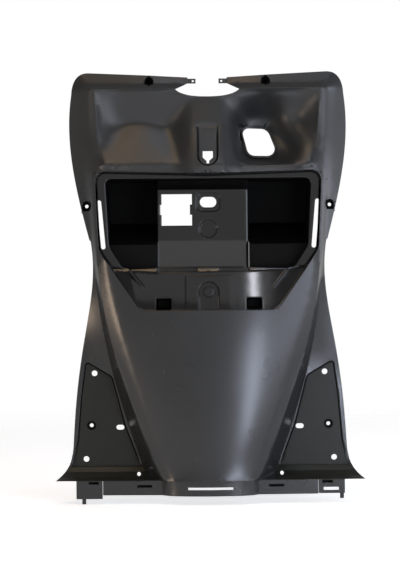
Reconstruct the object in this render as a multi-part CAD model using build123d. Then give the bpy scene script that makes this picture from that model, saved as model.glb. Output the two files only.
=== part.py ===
"""Scooter leg shield: one thin moulded panel with an open glove box, seen from the rider's seat.

X is to the viewer's right, Z is up and the rider looks along +Y, so what stands out towards the
rider has the smaller Y. The origin lies midway between the two side screws, on the floor of their
seats. Sizes are in mm.
"""
import os
from math import atan2, degrees, hypot

from build123d import *

# Wall of the moulding, and a length that reaches past the whole part
WALL = 2.8
FAR = 300.0

# Half sections of the spine, from its lower end up to the glove box: height, depth on the centre
# line, then half width and depth of the shoulder's inner and outer edge, of the foot of the side
# wall and of the outer edge.
SPINE = (
    (-372.0, -55.0, 72.0, -42.0, 87.0, -31.0, 104.0, 9.5, 212.0, 11.0),
    (-290.0, -56.0, 98.0, -40.5, 114.0, -29.5, 131.0, 9.5, 206.0, 12.0),
    (-195.0, -54.5, 127.0, -37.5, 144.0, -27.5, 154.0, 2.0, 202.0, 15.0),
    (-90.0, -50.0, 150.0, -32.5, 162.0, -25.0, 168.0, -7.0, 200.0, 20.0),
    (30.0, -45.5, 161.0, -28.0, 169.0, -22.0, 180.0, -3.0, 205.0, 20.0),
)

# The same below the spine, where the panel turns towards the rider's feet. A leaning wall measures
# more where it is cut level, so each height has its multiple of the wall.
FOOT = (
    (-402.0, -57.0, 51.0, -50.0, 62.0, -44.0, 72.0, -32.0, 232.0, -24.0),
    (-398.0, -56.0, 57.0, -47.0, 69.0, -39.0, 83.0, -16.0, 226.0, -11.0),
    (-391.0, -55.5, 63.0, -44.5, 76.0, -34.5, 95.0, -1.0, 219.0, 2.0),
    (-382.0, -55.0, 68.0, -43.0, 82.0, -32.0, 101.0, 7.0, 214.0, 8.5),
    SPINE[0],
)
FOOT_LEAN = (2.6, 1.8, 1.3, 1.1, 1.0)
TOP_LEAN = 1.35

# Half sections of the upper part: height, depth on the centre line, at the steering column's edge
# and foot and at the hand recess's inner and outer floor, then half width and depth of the rim's
# inner and outer edge, of the middle of the outer band and of the outer edge.
COLUMN_X = 26.0
COLUMN_FOOT_X = 46.0
FLOOR_X = (86.0, 132.0)
WINGS = (
    (30.0, -45.5, -45.5, -36.5, -36.5, -36.5, 161.0, -28.0, 169.0, -22.0, 180.0, -3.0, 205.0, 20.0),
    (58.0, -41.0, -41.0, -31.0, -31.0, -31.0, 161.0, -25.0, 169.0, -19.0, 183.0, -2.0, 207.0, 20.0),
    (92.0, -28.0, -28.0, -5.0, -5.0, -5.0, 160.0, -15.0, 169.0, -14.0, 185.0, 0.0, 211.0, 20.0),
    (122.0, -14.0, -14.0, 23.0, 23.0, 23.0, 162.0, -12.0, 171.0, -11.0, 187.0, 3.0, 212.0, 20.0),
    (148.0, -6.0, -6.0, 17.0, 17.0, 17.0, 164.0, -12.0, 173.0, -10.0, 188.0, 4.0, 211.0, 20.0),
    (171.0, 3.0, 3.0, -6.0, -9.0, -9.0, 166.0, -12.0, 174.0, -10.0, 188.0, 4.0, 210.0, 20.0),
)
TOP_BAND = (
    (180.0, 13.0, 13.0, 11.0, 4.0, 3.0, 172.0, 3.0, 178.0, 5.0, 190.0, 11.0, 210.0, 22.0),
    (202.0, 24.0, 24.0, 24.0, 22.0, 22.0, 188.0, 23.0, 192.0, 24.0, 198.0, 26.0, 212.0, 30.0),
)
WING_LEVELS = (30.0, 56.0, 78.0, 100.0, 120.0, 136.0, 154.0, 171.0)

# Front outline: half widths and heights
TOP_Z = 197.5
TOP_INNER_Z = 190.0
TOP_CORNER = 26.0
NOTCH_X = 29.0
NOTCH_TONGUE_Z = 181.0
NOTCH_TIP = (47.0, 170.5)
NOTCH_LOW_Z = 160.0
UPPER_EDGE = ((201.0, 165.0), (204.0, 100.0), (189.0, 4.0), (175.0, -50.0))
LOWER_EDGE = ((173.0, -52.0), (170.0, -88.0), (185.0, -200.0), (201.0, -341.0), (208.0, -382.0),
              (226.0, -402.0))

# Glove box: half outlines of the lip and of the mouth as half width, height and corner radius,
# the ledge that the lid closes on, the two pockets and the box between them
LIP = ((0.0, 45.0, 0.0), (166.0, 50.0, 15.0), (160.5, -66.0, 24.0), (100.0, -154.0, 18.0))
MOUTH = ((151.0, 39.0, 9.0), (146.0, -60.0, 20.0), (126.0, -91.5, 9.0))
LEDGE_Y = -14.0
POCKET_Y = 100.0
RAMP_FRONT_Y = 8.0
RAMP_LOW_Z = -57.0
RAMP_HIGH_Z = -24.0
RAMP_LEAN = 3.0
BOX_LEFT_X = -75.0
BOX_RIGHT_X = 60.0
BOX_TOP_Z = 25.0
BOX_BEND_Z = -51.0
BOX_Y = 22.0
BOX_BACK_Y = 46.0
BOX_LEAN = 5.0
BOX_LEAN_Z = -130.0
BOX_ROUND = 4.0
SCOOP_LOW_Y = -40.0
TRENCH_Z = -98.0
TRENCHES_X = ((-75.0, -17.0), (16.0, 60.0))
TRENCH_Y = 18.0
LID_SLOT_LENGTH = 72.0
LID_SLOT_WIDTH = 6.5
LID_SLOT_X = 157.0
LID_SLOT_Z = -28.0
LID_SLOT_TILT = 5.0

# Openings in the face of the box between the pockets
SOCKET_X = (-69.0, -24.0)
SOCKET_Z = (-29.0, 17.5)
SOCKET_KEY_Z = (-13.0, 2.0)
SOCKET_KEY = 3.0
OVAL_WIDTH = 24.5
OVAL_HEIGHT = 15.5
OVAL_Z = 5.5
OVAL_SEAT_WIDTH = 35.0
OVAL_SEAT_HEIGHT = 28.0
OVAL_SEAT_CORNER = 8.0
DISC_R = 13.3
DISC_Z = -34.0
SEAT_DEPTH = 1.3

# Raised pad, gussets, lid stop and hinge pockets in the scoop below the mouth
PAD_X = 34.0
PAD_Z = -104.0
PAD_HIGH = 1.2
GUSSET = ((116.0, -95.0), (95.0, -121.0))
GUSSET_THICK = 3.0
GUSSET_Y = -27.0
STOP_R = 7.4
STOP_Z = -127.5
STOP_Y = -34.0
ARCH_R = 14.7
ARCH_FLOOR_Y = -20.0
HINGE_X = 66.0
HINGE_WIDTH = 22.0
HINGE_Z = (-153.0, -136.5)
HINGE_Y = -14.0

# Key scoop: outline of its mouth, its side profile and the hole for the lock
KEY_MOUTH = ((42.0, 152.0, 18.0), (112.0, 163.0, 26.0), (134.0, 65.0, 14.0), (50.0, 63.0, 16.0))
KEY_ENTRY_Y = 10.0
KEY_LOW_Y = -3.0
KEY_LOW_Z = 62.0
KEY_DEEP_Y = 45.0
KEY_DEEP_Z = 124.0
KEY_HIGH_Y = 10.0
KEY_HIGH_Z = 164.0
KEY_HOLE = ((50.0, 115.5, 9.0), (89.0, 114.0, 14.0), (104.0, 71.0, 12.0), (60.0, 72.0, 12.0))
KEY_RIM = 3.0
KEY_RIM_HIGH = 3.5

# Bag hook seat on the column
HOOK_HALF = 15.5
HOOK_LOW_Z = 55.5
HOOK_HIGH_Z = 134.0
HOOK_TOP_Y = -13.0
HOOK_LOW_Y = -29.0
HOOK_HOLE_HALF = 7.4
HOOK_HOLE_Z = (68.5, 78.0)
HOOK_SLOT_HALF = 1.9
HOOK_SLOT_Z = (60.0, 63.5)

# Screw seats
SCREW_R = 2.6
SIDE_SCREW_X = 179.0
SIDE_SEAT = (5.0, -7.5, 7.5)
SIDE_SEAT_Y = 8.0
TOP_SCREW_X = 86.0
TOP_SCREW_Z = 184.0
TOP_SEAT = (6.5, -5.5, 6.5)
TOP_SEAT_Y = 22.0

# Trim plates beside the spine: flat sunk seats with clip holes and a counterbored screw
PLATE = ((183.5, -227.0, 5.0), (143.0, -251.0, 12.0), (124.0, -324.0, 0.0), (107.0, -368.0, 0.0),
         (101.0, -384.0, 0.0), (204.5, -384.0, 0.0), (196.0, -345.0, 0.0), (190.5, -279.0, 0.0))
PLATE_Y = 14.0
CLIP_R = 4.2
CLIP_X = 170.0
CLIP_Z = -246.5
LOW_CLIP_X = 183.0
LOW_CLIP_Z = -373.0
PLATE_SCREW_X = 175.0
PLATE_SCREW_Z = -323.5
PLATE_SCREW_R = 2.9
COUNTERBORE_R = 6.6
COUNTERBORE_Y = 17.5
PLATE_SLOT_X = 132.5
PLATE_SLOT_Z = -326.5
PLATE_SLOT_LENGTH = 11.8
PLATE_SLOT_WIDTH = 7.4
FOOT_HOLE_X = 105.0
FOOT_HOLE_Z = -394.0
FOOT_HOLE_R = 2.6

# Flange under the foot, its slots as centre, height and length, and the end brackets
FLANGE_SET_BACK = 2.0
FLANGE_HALF = 157.0
FLANGE_LOW_Z = -423.0
FLANGE_SLOT = 3.6
FLANGE_SLOTS = ((0.0, -412.0, 65.0), (-96.0, -410.0, 22.0), (96.0, -410.0, 22.0))
BRACKET_X = (158.0, 196.0)
BRACKET_Y = (-24.0, -10.0)
BRACKET_LOW_Z = (-428.5, -422.5)
WINDOW_X = (165.0, 187.0)
WINDOW_Z = (-418.0, -413.5)
BRACKET_SLOT_X = (163.0, 178.0)
BRACKET_SLOT_Z = (-407.0, -403.5)
PEG_R = 3.0
PEG_LONG = 8.0
PEG_X = (-185.0, 192.0)

# Tabs on the tongues of the top band
TAB_X = (17.0, 31.0)
TAB_Z = (181.0, 188.0)
TAB_Y = 17.0
TAB_HOLE_X = 21.0
TAB_HOLE_R = 1.6


def blend(rows, level):
    """A row of values at one height, gliding through the given rows without overshoot."""
    heights = [row[0] for row in rows]
    index = max(i for i in range(len(rows) - 1) if heights[i] <= level)
    span = heights[index + 1] - heights[index]
    t = (level - heights[index]) / span

    def slope(column, at):
        if at in (0, len(rows) - 1):
            return 0.0
        before = (rows[at][column] - rows[at - 1][column]) / (heights[at] - heights[at - 1])
        after = (rows[at + 1][column] - rows[at][column]) / (heights[at + 1] - heights[at])
        return 0.0 if before * after <= 0 else 2 * before * after / (before + after)

    values = [level]
    for column in range(1, len(rows[0])):
        low, high = rows[index][column], rows[index + 1][column]
        value = (1 + 2 * t) * (1 - t) ** 2 * low + t * t * (3 - 2 * t) * high
        value += span * t * (1 - t) * ((1 - t) * slope(column, index) - t * slope(column, index + 1))
        values.append(value)
    return values


def mitred(points, gap):
    """The same open polyline moved by gap towards +Y, with mitred corners."""
    normals = []
    for (ax, ay), (bx, by) in zip(points, points[1:]):
        length = hypot(bx - ax, by - ay)
        normals.append((-(by - ay) / length, (bx - ax) / length))
    moved = []
    for index, (x, y) in enumerate(points):
        before = normals[max(index - 1, 0)]
        after = normals[min(index, len(normals) - 1)]
        share = gap / (1 + before[0] * after[0] + before[1] * after[1])
        moved.append((x + (before[0] + after[0]) * share, y + (before[1] + after[1]) * share))
    return moved


def strip(points, z, spans):
    """Edges over a row of points at one height: a line over one span, a spline over several."""
    edges = []
    start = 0
    for span in spans:
        run = [(x, y, z) for x, y in points[start:start + span + 1]]
        steps = [index / span for index in range(span + 1)]
        edges.append(Edge.make_line(*run) if span == 1 else Edge.make_spline(run, parameters=steps))
        start += span
    return edges


def wall_ring(points, z, spans, gap):
    """The closed outline of the wall at one height."""
    back = mitred(points, gap)
    right = Edge.make_line((*points[-1], z), (*back[-1], z))
    left = Edge.make_line((*points[0], z), (*back[0], z))
    return Wire(strip(points, z, spans) + [right] + strip(back, z, spans) + [left])


def core_ring(points, z, spans, gap):
    """The closed outline of all that lies behind the middle of the wall at one height."""
    middle = mitred(points, gap / 2)
    corners = [middle[-1], (middle[-1][0], FAR), (middle[0][0], FAR), middle[0]]
    sides = [Edge.make_line((*a, z), (*b, z)) for a, b in zip(corners, corners[1:])]
    return Wire(strip(middle, z, spans) + sides)


def mirrored(half):
    """A half section from the centre line outwards, made a full one from left to right."""
    return [(-x, y) for x, y in reversed(half[1:])] + half


def rails(values):
    """Half widths and depths that alternate in a row, as points."""
    return list(zip(values[::2], values[1::2]))


def spine_points(row):
    centre, edge = row[1], row[2:4]
    crown = [(edge[0] * share, centre + (edge[1] - centre) * share ** 2) for share in (0.33, 0.66)]
    return mirrored([(0.0, centre), *crown, *rails(row[2:])])


def wing_points(row):
    return mirrored([*zip((0.0, COLUMN_X, COLUMN_FOOT_X, *FLOOR_X), row[1:6]), *rails(row[6:])])


SPINE_SPANS = (1, 1, 1, 6, 1, 1, 1)
WING_SPANS = (1,) * 16


def skin(ring):
    """The panel as three lofts, each through closed outlines made by ring."""
    foot = [ring(spine_points(row), row[0], SPINE_SPANS, WALL * lean) for row, lean in zip(FOOT, FOOT_LEAN)]
    spine = [ring(spine_points(row), row[0], SPINE_SPANS, WALL) for row in SPINE]
    wings = [ring(wing_points(blend(WINGS, z)), z, WING_SPANS, WALL) for z in WING_LEVELS]
    band = [ring(wing_points(row), row[0], WING_SPANS, WALL * TOP_LEAN) for row in TOP_BAND]
    ruled = [Solid.make_loft(rings, ruled=True) for rings in (foot, wings + band)]
    return Solid.make_loft(spine) + ruled


def prism(outline, y0, y1):
    """A front outline (X, Z) carried straight back from y0 to y1."""
    return extrude(Pos(0, y0, 0) * (Plane.XZ * outline), amount=y1 - y0, dir=(0, 1, 0))


def slab(profile, x0, x1):
    """A side profile (Y, Z) carried across from x0 to x1."""
    return extrude(Pos(x0, 0, 0) * (Plane.YZ * profile), amount=x1 - x0, dir=(1, 0, 0))


def grown(shape, by=WALL):
    return offset(shape, amount=by, kind=Kind.INTERSECTION)


def outline(corners):
    """A closed outline of straight sides from corners with a radius each."""
    shape = Polygon(*[corner[:2] for corner in corners], align=None)
    for x, z, radius in corners:
        if radius:
            shape = fillet(shape.vertices().sort_by_distance((x, z))[0], radius)
    return shape


def symmetric(half):
    """The corners of a whole outline from its right half, given from the top down."""
    return [*half, *[(-x, z, radius) for x, z, radius in reversed(half) if x]]


def rectangle(x_range, z_range):
    return Polygon((x_range[0], z_range[0]), (x_range[1], z_range[0]), (x_range[1], z_range[1]),
                   (x_range[0], z_range[1]), align=None)


def hole(x, z, radius):
    return prism(Pos(x, z) * Circle(radius), -FAR, FAR)


def silhouette():
    """The front outline of the panel, open below the foot's edge."""
    corner = (UPPER_EDGE[0][0] - TOP_CORNER, TOP_Z)
    foot = LOWER_EDGE[-1]
    low = foot[1] - WALL
    right = [
        Line((NOTCH_X, TOP_INNER_Z), corner),
        Spline(corner, UPPER_EDGE[0], tangents=((1, 0.05), (0.05, -1))),
        Spline(*UPPER_EDGE),
        Line(UPPER_EDGE[-1], LOWER_EDGE[0]),
        Spline(*LOWER_EDGE),
        Line(foot, (foot[0], low)),
        Line((foot[0], low), (0, low)),
        Line((NOTCH_X, TOP_INNER_Z), (NOTCH_X, NOTCH_TONGUE_Z)),
        Line((NOTCH_X, NOTCH_TONGUE_Z), NOTCH_TIP),
        Spline(NOTCH_TIP, (0, NOTCH_LOW_Z), tangents=((-1, -0.9), (-1, 0))),
    ]
    return make_face(Curve() + right + [mirror(edge, Plane.YZ) for edge in right])


def behind_scoop(depth):
    """All that lies behind the scoop's front face when that is moved back by depth."""
    top, low = MOUTH[-1][1], LIP[-1][1]
    fall = (SCOOP_LOW_Y - LEDGE_Y) / (low - top)
    ends = [(LEDGE_Y + depth + fall * (z - top), z) for z in (top, low - WALL)]
    return slab(Polygon(*ends, (FAR, ends[1][1]), (FAR, ends[0][1]), align=None), -FAR, FAR)


def glove_box(lip, mouth, core):
    """Walls behind the lip, the ledge, and the pockets with the box between them; then what is open."""
    mouth_z = MOUTH[-1][1]
    rim = prism(grown(lip), -FAR, LEDGE_Y + WALL)
    wall = rim - prism(lip, -FAR, FAR) - behind_scoop(WALL)
    above = prism(rectangle((-FAR, FAR), (mouth_z - WALL, FAR)), LEDGE_Y, LEDGE_Y + WALL)
    ledge = rim & above
    scoop = (behind_scoop(0) - behind_scoop(WALL)) & prism(grown(lip), -FAR, FAR)

    pocket = Polygon((-FAR, FAR), (POCKET_Y, FAR), (POCKET_Y, RAMP_HIGH_Z), (RAMP_FRONT_Y, RAMP_LOW_Z),
                     (RAMP_FRONT_Y - RAMP_LEAN, BOX_LEAN_Z), (-FAR, BOX_LEAN_Z), align=None)
    middle = Polygon((-FAR, FAR), (BOX_BACK_Y, FAR), (BOX_BACK_Y, BOX_TOP_Z), (BOX_Y, BOX_TOP_Z),
                     (BOX_Y, BOX_BEND_Z), (BOX_Y - BOX_LEAN, BOX_LEAN_Z), (-FAR, BOX_LEAN_Z), align=None)
    cavity = slab(middle, BOX_LEFT_X, BOX_RIGHT_X)
    cavity += [slab(pocket, -FAR, BOX_LEFT_X), slab(pocket, BOX_RIGHT_X, FAR)]
    corner = Pos(BOX_RIGHT_X - BOX_ROUND / 2, BOX_Y + BOX_ROUND / 2) * Rectangle(BOX_ROUND, BOX_ROUND)
    corner -= Pos(BOX_RIGHT_X - BOX_ROUND, BOX_Y + BOX_ROUND) * Circle(BOX_ROUND)
    corner = Pos(0, 0, BOX_BEND_Z) * corner
    lean = Vector(0, -BOX_LEAN, BOX_LEAN_Z - BOX_BEND_Z)
    cavity += [extrude(corner, amount=BOX_TOP_Z - BOX_BEND_Z, dir=(0, 0, 1)),
               extrude(corner, amount=lean.length, dir=lean)]
    cavity = cavity & prism(mouth, LEDGE_Y - 1, FAR)
    hull = slab(grown(middle), BOX_LEFT_X - WALL, BOX_RIGHT_X + WALL)
    hull += [slab(grown(pocket), -FAR, BOX_LEFT_X + WALL), slab(grown(pocket), BOX_RIGHT_X - WALL, FAR)]
    hull = hull & prism(grown(mouth), LEDGE_Y, FAR)
    for x0, x1 in TRENCHES_X:
        floor = rectangle((x0 - WALL, x1 + WALL), (TRENCH_Z - WALL, mouth_z))
        hull += prism(floor, LEDGE_Y, TRENCH_Y + WALL) & behind_scoop(WALL / 2)
        cavity += prism(rectangle((x0, x1), (TRENCH_Z, mouth_z + WALL)), -FAR, TRENCH_Y)
    return [wall & core, ledge, scoop, hull], cavity


def box_face_cuts():
    """Openings and seats in the face of the box between the pockets."""
    socket = (prism(rectangle(SOCKET_X, SOCKET_Z), 0, BOX_BACK_Y)
              + prism(rectangle((SOCKET_X[0] - SOCKET_KEY, SOCKET_X[0] + 1), SOCKET_KEY_Z), 0, BOX_BACK_Y))
    socket -= prism(rectangle((SOCKET_X[1] - SOCKET_KEY, SOCKET_X[1]), SOCKET_KEY_Z), 0, BOX_BACK_Y)
    oval = prism(Pos(0, OVAL_Z) * SlotOverall(OVAL_WIDTH, OVAL_HEIGHT), 0, BOX_BACK_Y)
    seat = prism(Pos(0, OVAL_Z) * RectangleRounded(OVAL_SEAT_WIDTH, OVAL_SEAT_HEIGHT, OVAL_SEAT_CORNER),
                 0, BOX_Y + SEAT_DEPTH)
    disc = prism(Pos(0, DISC_Z) * Circle(DISC_R), 0, BOX_Y + SEAT_DEPTH)
    return [socket, oval, seat, disc]


def arch(half, low, high):
    """An upright outline with a round top."""
    return rectangle((-half, half), (low, high - half)) + Pos(0, high - half) * Circle(half)


def scoop_features(lip):
    """Pad, gussets, the lid stop in its arched recess and the hinge pockets: added walls, then cuts."""
    back = prism(grown(lip), -FAR, FAR) & behind_scoop(WALL / 2)
    pad = (behind_scoop(-PAD_HIGH) - behind_scoop(WALL / 2)) & prism(
        rectangle((-PAD_X, PAD_X), (LIP[-1][1], PAD_Z)), -FAR, FAR)
    recess = arch(ARCH_R, LIP[-1][1], STOP_Z + ARCH_R)
    walls = [pad, prism(grown(recess), -FAR, ARCH_FLOOR_Y + WALL) & back]
    cuts = [prism(recess, -FAR, ARCH_FLOOR_Y)]
    for side in (-1, 1):
        (x0, z0), (x1, z1) = GUSSET
        turn = side * degrees(atan2(z0 - z1, x0 - x1))
        rib = Pos(side * (x0 + x1) / 2, (z0 + z1) / 2) * Rot(0, 0, turn)
        rib *= Rectangle(hypot(x0 - x1, z0 - z1), GUSSET_THICK)
        walls.append(prism(rib, GUSSET_Y, FAR) - behind_scoop(WALL / 2))
        pocket = rectangle((side * HINGE_X - HINGE_WIDTH / 2, side * HINGE_X + HINGE_WIDTH / 2), HINGE_Z)
        walls.append(prism(grown(pocket), -FAR, HINGE_Y + WALL) & back)
        cuts.append(prism(pocket, -FAR, HINGE_Y))
    stop = prism(Pos(0, STOP_Z) * Circle(STOP_R), STOP_Y, ARCH_FLOOR_Y + WALL / 2)
    return walls, cuts, stop


def funnel(mouth, throat):
    """A straight entry that narrows from KEY_ENTRY_Y down to the throat."""
    levels = ((KEY_ENTRY_Y, mouth), (KEY_DEEP_Y + WALL, throat))
    narrowing = loft([Pos(0, y, 0) * (Plane.XZ * shape) for y, shape in levels])
    return prism(mouth, -FAR, KEY_ENTRY_Y) + narrowing


def key_scoop(core):
    """The pocket round the steering lock: its wall, what it cuts, the rim of the lock's hole, the hole."""
    mouth, lock = outline(KEY_MOUTH), outline(KEY_HOLE)
    throat = grown(lock, KEY_RIM)
    side = Polygon((-FAR, KEY_LOW_Z), (KEY_LOW_Y, KEY_LOW_Z), (KEY_DEEP_Y, KEY_DEEP_Z),
                   (KEY_HIGH_Y, KEY_HIGH_Z), (-FAR, KEY_HIGH_Z), align=None)
    pocket = slab(side, 0, FAR) & funnel(mouth, throat)
    wall = slab(grown(side), 0, FAR) & funnel(grown(mouth), grown(throat)) & core
    floor = Polygon((KEY_LOW_Y, KEY_LOW_Z), (KEY_DEEP_Y, KEY_DEEP_Z), (KEY_DEEP_Y - KEY_RIM_HIGH, KEY_DEEP_Z),
                    (KEY_LOW_Y - KEY_RIM_HIGH, KEY_LOW_Z), align=None)
    rim = slab(grown(floor, WALL / 4), 0, FAR) & prism(throat, -FAR, FAR) & pocket
    return wall, pocket, rim, prism(lock, -FAR, FAR)


def hook_seat(core):
    """The seat of the bag hook, sunk into the column: its wall, what it cuts, and its keyhole."""
    seat = mirror(arch(HOOK_HALF, -HOOK_HIGH_Z - HOOK_HALF, -HOOK_LOW_Z), Plane.XZ)
    rise = (HOOK_TOP_Y - HOOK_LOW_Y) / (HOOK_HIGH_Z - HOOK_LOW_Z)
    low_z = HOOK_LOW_Z - HOOK_HALF
    side = Polygon((-FAR, low_z), (HOOK_LOW_Y - rise * HOOK_HALF, low_z), (HOOK_TOP_Y, HOOK_HIGH_Z),
                   (-FAR, HOOK_HIGH_Z), align=None)
    pocket = slab(side, -FAR, FAR) & prism(seat, -FAR, FAR)
    wall = slab(grown(side), -FAR, FAR) & prism(grown(seat), -FAR, FAR) & core
    half = [(HOOK_HOLE_HALF, HOOK_HOLE_Z[1]), (HOOK_HOLE_HALF, HOOK_HOLE_Z[0]),
            (HOOK_SLOT_HALF, HOOK_SLOT_Z[1]), (HOOK_SLOT_HALF, HOOK_SLOT_Z[0])]
    keyhole = Polygon(*half, *[(-x, z) for x, z in reversed(half)], align=None)
    return wall, pocket, prism(keyhole, -FAR, 0)


def cup(shape, floor_y, core):
    """A sunk seat with its own wall behind the panel: the wall, then the cut."""
    return prism(grown(shape), -FAR, floor_y + WALL) & core, prism(shape, -FAR, floor_y)


def tongue_tab(side):
    """The small eye that reaches from the end of the top band's tongue."""
    x_range = sorted(side * x for x in TAB_X)
    eye = rectangle(x_range, TAB_Z) - Pos(side * TAB_HOLE_X, sum(TAB_Z) / 2) * Circle(TAB_HOLE_R)
    return prism(eye, TAB_Y, TAB_Y + WALL)


def flange():
    """The strip that hangs from the foot's edge, with the brackets at its ends."""
    top = FOOT[0][0]
    edge = spine_points(FOOT[0])
    front = mitred(edge, FLANGE_SET_BACK)
    back = mitred(edge, FLANGE_SET_BACK + WALL)
    ends = [Edge.make_line((*front[i], top), (*back[i], top)) for i in (0, -1)]
    face = Face(Wire(strip(front, top, SPINE_SPANS) + strip(back, top, SPINE_SPANS) + ends))
    hung = extrude(face, amount=top - FLANGE_LOW_Z, dir=(0, 0, -1))
    hung = hung & Box(2 * FLANGE_HALF, 2 * FAR, 4 * FAR)
    for x, z, length in FLANGE_SLOTS:
        hung -= prism(Pos(x, z) * Rectangle(length, FLANGE_SLOT), -FAR, FAR)
    for side, low in zip((-1, 1), BRACKET_LOW_Z):
        x_range = sorted(side * x for x in BRACKET_X)
        block = prism(rectangle(x_range, (low, top)), *BRACKET_Y)
        block -= prism(grown(rectangle(x_range, (low, top)), -WALL), BRACKET_Y[0] + WALL, FAR)
        block -= prism(rectangle(sorted(side * x for x in BRACKET_SLOT_X), BRACKET_SLOT_Z), -FAR, FAR)
        hung += block
    hung -= prism(rectangle(WINDOW_X, WINDOW_Z), -FAR, FAR)
    for x, low in zip(PEG_X, BRACKET_LOW_Z):
        peg = Cylinder(PEG_R, top - low + PEG_LONG, align=(Align.CENTER, Align.CENTER, Align.MAX))
        hung += Pos(x, sum(BRACKET_Y) / 2, top) * peg
    return hung


panel = skin(wall_ring) & prism(silhouette(), -FAR, FAR)
core = skin(core_ring)

lip = outline(symmetric(LIP))
mouth = outline(symmetric(MOUTH))
walls, open_space = glove_box(lip, mouth, core)
stop_walls, stop_cuts, stop = scoop_features(lip)
key_wall, key_pocket, key_rim, key_hole = key_scoop(core)
hook_wall, hook_pocket, keyhole = hook_seat(core)

plate_slot = SlotOverall(PLATE_SLOT_LENGTH, PLATE_SLOT_WIDTH)
added = [*walls, *stop_walls, key_wall, hook_wall]
removed = [open_space, *stop_cuts, key_pocket, hook_pocket, *box_face_cuts(), keyhole]
for side in (-1, 1):
    seats = [
        (Pos(side * SIDE_SCREW_X, 0) * arch(*SIDE_SEAT), SIDE_SEAT_Y),
        (Pos(side * TOP_SCREW_X, TOP_SCREW_Z) * arch(*TOP_SEAT), TOP_SEAT_Y),
        (Pos(side * PLATE_SCREW_X, PLATE_SCREW_Z) * Circle(COUNTERBORE_R), COUNTERBORE_Y),
        (outline([(side * x, z, radius) for x, z, radius in PLATE]), PLATE_Y),
    ]
    for shape, floor_y in seats:
        wall, cut = cup(shape, floor_y, core)
        added.append(wall)
        removed.append(cut)
    added.append(tongue_tab(side))
    slot = Pos(side * LID_SLOT_X, LID_SLOT_Z) * Rot(0, 0, 90 - side * LID_SLOT_TILT)
    removed += [
        prism(slot * SlotOverall(LID_SLOT_LENGTH, LID_SLOT_WIDTH), LEDGE_Y - WALL, 0),
        prism(Pos(side * PLATE_SLOT_X, PLATE_SLOT_Z) * plate_slot, -FAR, FAR),
        hole(side * SIDE_SCREW_X, 0, SCREW_R),
        hole(side * TOP_SCREW_X, TOP_SCREW_Z, SCREW_R),
        hole(side * CLIP_X, CLIP_Z, CLIP_R),
        hole(side * LOW_CLIP_X, LOW_CLIP_Z, CLIP_R),
        hole(side * PLATE_SCREW_X, PLATE_SCREW_Z, PLATE_SCREW_R),
        hole(side * FOOT_HOLE_X, FOOT_HOLE_Z, FOOT_HOLE_R),
    ]

body = panel - prism(lip, -FAR, LEDGE_Y) + added
body = body - removed
body = body + [stop, key_rim, flange()] - key_hole

# The origin rests on the floor of the side screws' seats
body = Pos(0, -SIDE_SEAT_Y, 0) * body

os.makedirs("parts", exist_ok=True)
export_step(body, "parts/leg_shield.step")
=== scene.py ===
"""Dresses the scooter leg shield: one moulding with soft edges, its finishes, and a studio round it."""
from math import cos, radians

import bpy
import numpy as np
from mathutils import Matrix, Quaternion, Vector
from mathutils.bvhtree import BVHTree


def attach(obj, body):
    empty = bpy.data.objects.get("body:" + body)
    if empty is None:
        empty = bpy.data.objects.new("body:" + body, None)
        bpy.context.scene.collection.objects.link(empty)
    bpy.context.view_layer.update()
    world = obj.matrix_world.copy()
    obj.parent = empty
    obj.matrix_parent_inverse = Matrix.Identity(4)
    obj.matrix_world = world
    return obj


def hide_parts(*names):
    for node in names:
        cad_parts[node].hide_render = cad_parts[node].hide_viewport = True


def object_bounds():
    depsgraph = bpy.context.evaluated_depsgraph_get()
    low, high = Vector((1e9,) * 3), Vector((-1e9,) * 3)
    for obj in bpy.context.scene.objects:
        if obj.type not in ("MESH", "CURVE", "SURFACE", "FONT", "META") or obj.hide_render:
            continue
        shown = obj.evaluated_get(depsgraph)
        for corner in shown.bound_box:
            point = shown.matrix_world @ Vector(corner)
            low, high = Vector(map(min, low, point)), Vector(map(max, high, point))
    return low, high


bl_info = {
    "name": "Scooter Leg Shield",
    "version": (1, 0, 0),
    "blender": (4, 5, 0),
    "location": "3D View > Sidebar > Leg Shield",
    "description": "Dresses a moulded scooter leg shield and sets up its studio",
    "category": "Object",
}

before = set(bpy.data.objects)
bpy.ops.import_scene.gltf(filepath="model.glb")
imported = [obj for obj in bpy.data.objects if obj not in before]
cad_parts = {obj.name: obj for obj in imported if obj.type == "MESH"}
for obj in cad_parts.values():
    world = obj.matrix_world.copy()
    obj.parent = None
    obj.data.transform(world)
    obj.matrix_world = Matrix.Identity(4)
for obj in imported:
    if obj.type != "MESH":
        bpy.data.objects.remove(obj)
CAD_LOW, CAD_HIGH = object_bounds()

NODE = "leg_shield"
WALL = 2.8
MM = 0.001

# Photograph's frame and scale, and the middle of its picture seen from the part's origin
IMAGE_HIGH = 570
PIXEL = 1.475 * MM
PICTURE_MIDDLE_X = -13.0 * MM
PICTURE_MIDDLE_Z = -117.3 * MM

# Half outline of the glove box's lip as heights and half widths, the width beside it that stays as it is,
# and the box between its pockets
LIP_Z = (-154.0, -66.0, 47.0)
LIP_X = (100.0, 160.5, 166.0)
LIP_MARGIN = 1.0
POCKET_FRONT_Y = -18.0
BOX_X = (-75.2, 60.2)
BOX_TOP_Z = 25.0
BOX_Y = 17.0
BOX_FRONT_Y = 8.0
# Places inside the left and the right pocket
POCKET_LEFT = (-112.0, 40.0, 0.0)
POCKET_RIGHT = (105.0, 40.0, 0.0)

# The wings above the glove box, the bag hook's seat on the column, the lock's hole and its lean, the key
# scoop round it with the radii that its own rounding reaches, and the notch at the top
WING_X = 159.0
WING_Z = (52.0, 170.0)
HOOK = (17.0, 137.0)
LOCK = (76.0, 93.0)
LOCK_LEAN = 0.284
LOCK_HALF = 27.0
KEY = (88.0, 112.0, 62.0)
KEY_REACH = 1.6
NOTCH = (54.0, 154.0)

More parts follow.
